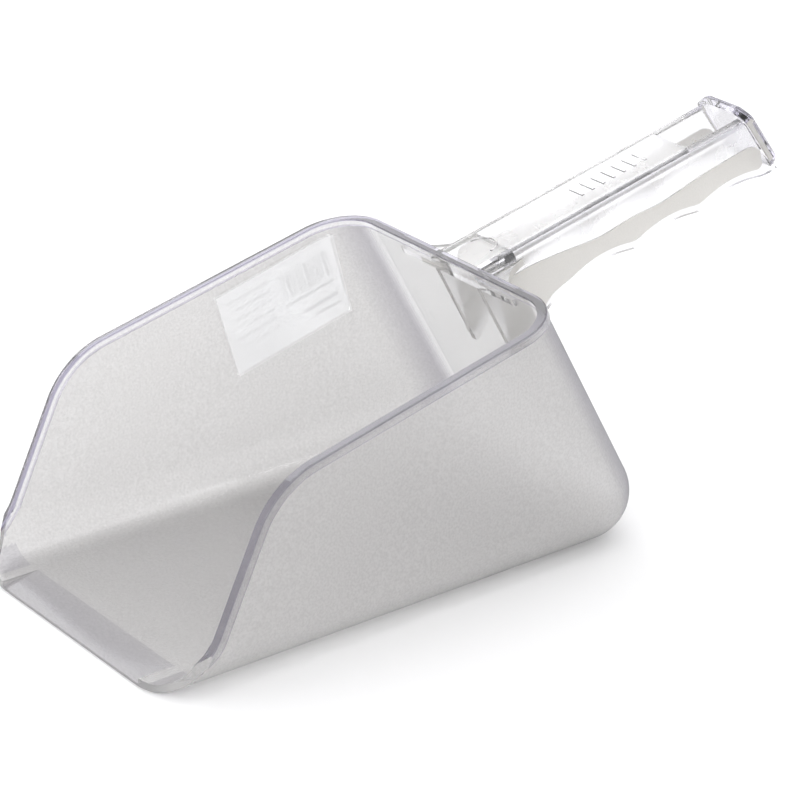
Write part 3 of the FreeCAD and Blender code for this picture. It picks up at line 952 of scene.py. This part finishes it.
def contrast(tree, source):
    """Spreads a noise's middle values over the whole range."""
    node = tree.nodes.new("ShaderNodeMapRange")
    node.inputs["From Min"].default_value = 0.35
    node.inputs["From Max"].default_value = 0.65
    tree.links.new(source, node.inputs["Value"])
    return node.outputs["Result"]


def on_label(tree):
    """1 where the label's glue wets the wall and fills its satin texture, 0 elsewhere."""
    place = tree.nodes.new("ShaderNodeTexCoord")
    along, up, outward, centre = label_frame()
    inside = None
    reaches = (LABEL_LENGTH / 2 - GLUE_MARGIN, LABEL_HEIGHT / 2 - GLUE_MARGIN, GLUE_DEPTH)
    for direction, reach in zip((along, up, outward), reaches):
        dot = tree.nodes.new("ShaderNodeVectorMath")
        dot.operation = "DOT_PRODUCT"
        tree.links.new(place.outputs["Object"], dot.inputs[0])
        dot.inputs[1].default_value = direction
        away = math_node(tree, "SUBTRACT", dot.outputs["Value"], direction.dot(centre) * MM)
        away = math_node(tree, "ABSOLUTE", away)
        within = math_node(tree, "LESS_THAN", away, reach * MM)
        inside = within if inside is None else math_node(tree, "MULTIPLY", inside, within)
    return inside


def clear_plastic():
    """Polished clear plastic, darkened to violet by painted shade where the mesh says that it is seen
    edge on.
    """
    made, tree, shader = material("clear_polycarbonate")
    shader.inputs["Transmission Weight"].default_value = 1.0
    shader.inputs["IOR"].default_value = PLASTIC_IOR
    # painted shade: faces marked edge are darkened toward violet
    tone = tone_mix(tree, zone_value(tree, "edge"), (0.97, 0.97, 0.97), PAINTED_EDGE_SHADE)
    tree.links.new(tone, shader.inputs["Base Color"])
    wide = noise(tree, 90.0, 3.0)
    haze = math_node(tree, "MULTIPLY", zone_value(tree, "rough"), 0.5)
    smooth = scaled(tree, wide.outputs["Fac"], 0.01, 0.04)
    tree.links.new(math_node(tree, "ADD", smooth, haze), shader.inputs["Roughness"])
    return made


def satin_plastic():
    """Clear plastic with a fine satin texture, smoother toward the back of the bowl."""
    made, tree, shader = material("satin_polycarbonate")
    shader.inputs["IOR"].default_value = PLASTIC_IOR
    grain = noise(tree, 1100.0, 2.0)
    wide = noise(tree, 45.0, 3.0)
    satin = zone_value(tree, "satin")
    speck = tone_mix(tree, contrast(tree, grain.outputs["Fac"]), (0.76, 0.75, 0.745), (0.90, 0.89, 0.885))
    bare = math_node(tree, "SUBTRACT", 1.0, on_label(tree))
    satin = math_node(tree, "MULTIPLY", satin, bare)
    solid = math_node(tree, "MULTIPLY", satin, 0.22)
    tree.links.new(math_node(tree, "SUBTRACT", 1.0, solid), shader.inputs["Transmission Weight"])
    tone = tone_mix(tree, satin, (0.95, 0.95, 0.955), speck)
    # painted shade: faces marked edge are darkened toward violet, on top of the satin tone
    edge_shaded = tone_mix(tree, zone_value(tree, "edge"), (1.0, 1.0, 1.0), PAINTED_EDGE_SHADE)
    whole = tone_mix(tree, 1.0, tone, edge_shaded, "MULTIPLY")
    tree.links.new(whole, shader.inputs["Base Color"])
    rough = math_node(tree, "MULTIPLY", zone_value(tree, "rough"), bare)
    rough = math_node(tree, "MULTIPLY", rough, scaled(tree, wide.outputs["Fac"], 0.40, 0.50))
    tree.links.new(math_node(tree, "ADD", rough, 0.03), shader.inputs["Roughness"])
    add_bump(tree, shader, grain.outputs["Fac"], 0.00005, 0.6)
    return made


def frosted_plastic():
    """The grip panels' coarser frosted texture."""
    made, tree, shader = material("frosted_polycarbonate")
    shader.inputs["Transmission Weight"].default_value = 0.6
    shader.inputs["IOR"].default_value = PLASTIC_IOR
    grain = noise(tree, 1600.0, 3.0)
    tone = tone_mix(tree, grain.outputs["Fac"], (0.60, 0.58, 0.545), (0.70, 0.68, 0.64))
    tree.links.new(tone, shader.inputs["Base Color"])
    tree.links.new(scaled(tree, grain.outputs["Fac"], 0.5, 0.7), shader.inputs["Roughness"])
    add_bump(tree, shader, grain.outputs["Fac"], 0.0001, 0.8)
    return made


def paper():
    """Thin white paper: daylight from its printed side glows through to the side on the wall."""
    made, tree, shader = material("label_paper")
    fibre = noise(tree, 900.0, 4.0)
    tone = tone_mix(tree, fibre.outputs["Fac"], (0.96, 0.96, 0.97), (0.99, 0.99, 0.99))
    tree.links.new(tone, shader.inputs["Base Color"])
    tree.links.new(scaled(tree, fibre.outputs["Fac"], 0.45, 0.6), shader.inputs["Roughness"])
    shader.inputs["Subsurface Weight"].default_value = 1.0
    shader.inputs["Subsurface Radius"].default_value = (1.0, 1.0, 1.0)
    shader.inputs["Subsurface Scale"].default_value = 0.0015
    return made


def ink():
    """A thin, faded layer of grey print, which lets most of the light through."""
    made, tree, shader = material("label_print")
    blot = noise(tree, 1500.0, 2.0)
    tone = tone_mix(tree, blot.outputs["Fac"], (0.05, 0.05, 0.06), (0.12, 0.12, 0.13))
    tree.links.new(tone, shader.inputs["Base Color"])
    shader.inputs["Roughness"].default_value = 0.5
    shader.inputs["Alpha"].default_value = 0.1
    return made


def floor_material():
    """The matt, nearly white studio floor."""
    made, tree, shader = material("studio_floor")
    shade = noise(tree, 2.0, 1.0)
    tone = tone_mix(tree, shade.outputs["Fac"], (0.90, 0.90, 0.90), (0.92, 0.92, 0.92))
    tree.links.new(tone, shader.inputs["Base Color"])
    shader.inputs["Roughness"].default_value = 0.9
    shader.inputs["Specular IOR Level"].default_value = 0.0
    return made


# Which material each face has, and how satin, how much painted edge shade and how rough it is

CLEAR, SATIN, FROSTED = range(3)

MOUTH_BACK = 90.0
MOUTH = mouth_line(0, MOUTH_BACK)
NEAR_ROOT = 6.0
SLACK = 0.3
FOOT_LEVEL = 0.5

# Painted edge shade and roughness of each zone: the shade values darken rims, the lip's bevel, corners,
# the cap and the handle's lines to violet grey

RIM_SHADE = 1.0
BEAD_SHADE = 0.3
CORNER_SHADE = 0.8
LIP_SHADE = 0.42
INNER_FLOOR_SHADE = 0.03
CAP_FACE_SHADE = 0.3
CAP_SIDE_SHADE = 0.9
ROOT_SHADE = 0.35
SHOULDER_SHADE = 0.45
HANDLE_SHADE = 0.10
LIP_ROUGH = 0.2
INSIDE_ROUGH = 0.35
HOLLOW_ROUGH = 0.5


def nearest(point, start, end):
    """The place on a straight stretch that is nearest to a point."""
    run = end - start
    share = max(0.0, min(1.0, (point - start).dot(run) / max(run.length_squared, 1e-9)))
    return start + run * share


def from_mouth(y, z):
    """How far a place lies from the mouth's line, in mm."""
    return min(
        (Vector((y, z)) - nearest(Vector((y, z)), Vector(a), Vector(b))).length
        for a, b in zip(MOUTH, MOUTH[1:]))


def handle_zone(face):
    """Material, satin, painted edge shade and roughness of a face of the handle."""
    centre, normal = face.center / MM, face.normal
    local = TO_GRIP @ face.center / MM
    on_panel = abs(local.x) > HANDLE_HALF + SLACK and NEAR_ROOT < local.y < PANEL_END + 1
    on_shoulder = normal.z > 0 and local.z > WEB_TOP - SHOULDER - 1
    if on_panel and abs(normal.x) > 0.3:
        return FROSTED, 0.0, 0.0, 0.0
    # the edge values here are painted shade: dark lines on the cap's sides, the channel, the root and the
    # shoulders, and a faint grey over the rest
    if local.y > CAP_START:
        return CLEAR, 0.0, CAP_FACE_SHADE if abs(normal.y) > 0.8 else CAP_SIDE_SHADE, 0.0
    if normal.x * centre.x < 0 and local.y > 0:
        return CLEAR, 0.0, HANDLE_SHADE, HOLLOW_ROUGH
    if local.y < NEAR_ROOT:
        return CLEAR, 0.0, ROOT_SHADE, 0.0
    if on_shoulder and 0.2 < abs(normal.x) < 0.95:
        return CLEAR, 0.0, SHOULDER_SHADE, 0.0
    return CLEAR, 0.0, HANDLE_SHADE, 0.0


def bowl_zone(face):
    """Material, satin, painted edge shade and roughness of a face of the bowl."""
    centre, normal = face.center / MM, face.normal
    deep = from_mouth(centre.y, centre.z)
    outside = math.copysign(normal.x, normal.x * centre.x) + normal.y - 0.5 * normal.z > 0
    # painted shade: the rim and the bead are darkened to violet
    if deep < RIM_ROUND:
        return CLEAR, 0.0, RIM_SHADE, 0.0
    if outside and deep < BEAD_DEPTH - STEP_ROUND:
        return CLEAR, 0.0, BEAD_SHADE, 0.0
    if outside and deep < BEAD_DEPTH + SLACK:
        return CLEAR, 0.0, RIM_SHADE, 0.0
    # satin on the sides and the floor, polished on the back, whose normal is nearly along y
    satin = 1.0 - min(1.0, max(0.0, (abs(normal.y) - 0.8) / 0.15))
    if outside or centre.z < FOOT_LEVEL:
        # painted shade: violet on the corners, where the wall turns from the side to the back
        turning = min(1.0, max(0.0, (normal.y - 0.3) / 0.5))
        return SATIN, satin, CORNER_SHADE * turning * min(1.0, abs(normal.x) / 0.5), satin
    # painted shade: a darker band on the lip's bevel
    if centre.y < LIP_BACK and normal.z > 0.7:
        return SATIN, satin, LIP_SHADE, LIP_ROUGH
    # painted shade: a slight darkening of the inside floor
    return SATIN, satin, INNER_FLOOR_SHADE if normal.z > 0.9 else 0.0, INSIDE_ROUGH * satin


def mark_zones(thing):
    """Gives each face its material, and writes its values into the mesh for the materials to read."""
    mesh = thing.data
    mesh.materials.clear()
    for made in (clear_plastic(), satin_plastic(), frosted_plastic()):
        mesh.materials.append(made)
    layers = [mesh.attributes.new(name, "FLOAT", "CORNER") for name in ("satin", "edge", "rough")]
    for face in mesh.polygons:
        centre = face.center / MM
        behind_bowl = centre.y > BACK_FOOT - BACK_LEAN * centre.z + 1.0
        zone = handle_zone if behind_bowl else bowl_zone
        face.material_index, *values = zone(face)
        for layer, value in zip(layers, values):
            for loop in face.loop_indices:
                layer.data[loop].value = value


# Build

piece = bowl()
for sign in (1, -1):
    combined(piece, lip_corner(sign), "DIFFERENCE")
bevel(piece, LIP_ROUND, 2)
combined(piece, handle())
piece.name = "moulding"
mark_zones(piece)
piece.data.shade_smooth()
piece.data.set_sharp_from_angle(angle=SHARP_ANGLE)
weighted = piece.modifiers.new("normals", "WEIGHTED_NORMAL")
weighted.keep_sharp = True
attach(piece, "root")
moulded = [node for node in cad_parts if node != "price_label"]
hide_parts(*moulded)
sheet = label(piece)
sheet.name = "price_sheet"
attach(sheet, "root")
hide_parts("price_label")

# Studio: floor, world, lights and camera, in metres, watts and degrees

FLOOR_SIZE = 12.0
FLOOR_DROP = 0.0003
WORLD_BELOW = (1.0, 1.0, 1.0)
WORLD_ABOVE = (0.95, 0.95, 0.96)
WORLD_TURN = 0.6
SCOOP_LOW = (0, 0, 0.05)
STAGE_MIDDLE = (0, 0, 0)

CAMERA_LENS = 150.682
CAMERA_SENSOR = 36.0
CAMERA_NEAR = 0.01
CAMERA_PLACE = (0.915086, -0.612096, 0.556005)
CAMERA_AZIMUTH = 54.165
CAMERA_ELEVATION = 24.1077
CAMERA_ROLL = -0.9092


def studio_floor():
    """A wide floor just below the scoop's foot."""
    bm = bmesh.new()
    bmesh.ops.create_grid(bm, x_segments=8, y_segments=8, size=FLOOR_SIZE)
    bmesh.ops.translate(bm, verts=bm.verts, vec=(0, 0, -FLOOR_DROP))
    made = mesh_object("floor", bm)
    made.data.materials.append(floor_material())
    return made


def studio_world():
    """An even white surround, slightly greyer overhead."""
    world = bpy.data.worlds.new("studio")
    world.use_nodes = True
    tree = world.node_tree
    surround = tree.nodes["Background"]
    place = tree.nodes.new("ShaderNodeTexCoord")
    split = tree.nodes.new("ShaderNodeSeparateXYZ")
    ramp = tree.nodes.new("ShaderNodeValToRGB")
    tree.links.new(place.outputs["Generated"], split.inputs["Vector"])
    tree.links.new(split.outputs["Z"], ramp.inputs["Fac"])
    below, above = ramp.color_ramp.elements
    below.position = 0.0
    below.color = (*WORLD_BELOW, 1)
    above.position = WORLD_TURN
    above.color = (*WORLD_ABOVE, 1)
    tree.links.new(ramp.outputs["Color"], surround.inputs["Color"])
    surround.inputs["Strength"].default_value = 1.0
    return world


def area_light(name, location, target, size, power):
    """A rectangular white light at a place, turned to a target."""
    data = bpy.data.lights.new(name, "AREA")
    data.shape = "RECTANGLE"
    data.size, data.size_y = size
    data.energy = power
    made = bpy.data.objects.new(name, data)
    bpy.context.scene.collection.objects.link(made)
    made.location = location
    made.rotation_euler = (Vector(target) - Vector(location)).to_track_quat("-Z", "Y").to_euler()


def studio_camera():
    """The camera, from its direction of view and its roll about that direction."""
    data = bpy.data.cameras.new("camera")
    data.sensor_width = CAMERA_SENSOR
    data.lens = CAMERA_LENS
    data.clip_start = CAMERA_NEAR
    made = bpy.data.objects.new("camera", data)
    bpy.context.scene.collection.objects.link(made)
    azimuth, elevation, roll = map(math.radians, (CAMERA_AZIMUTH, CAMERA_ELEVATION, CAMERA_ROLL))
    flat = math.cos(elevation)
    toward = Vector((math.sin(azimuth) * flat, -math.cos(azimuth) * flat, math.sin(elevation)))
    right = (-toward).cross(Vector((0, 0, 1))).normalized()
    up = right.cross(-toward)
    image_x = right * math.cos(roll) + up * math.sin(roll)
    image_y = up * math.cos(roll) - right * math.sin(roll)
    made.matrix_world = Matrix((image_x, image_y, toward)).transposed().to_4x4()
    made.location = CAMERA_PLACE
    return made


floor = studio_floor()
bpy.context.scene.world = studio_world()
area_light("key", (-1.3, 0.3, 0.9), SCOOP_LOW, (1.2, 0.9), 5.5)
area_light("fill", (-0.4, 0.3, 1.8), STAGE_MIDDLE, (1.8, 1.6), 8.5)
area_light("front", (1.1, -0.9, 0.8), SCOOP_LOW, (1.0, 1.0), 4)
area_light("glint", (0.3, 0.85, 1.3), STAGE_MIDDLE, (0.15, 0.15), 1.2)
camera = studio_camera()
bpy.context.scene.camera = camera
bpy.context.scene.view_settings.view_transform = "Standard"
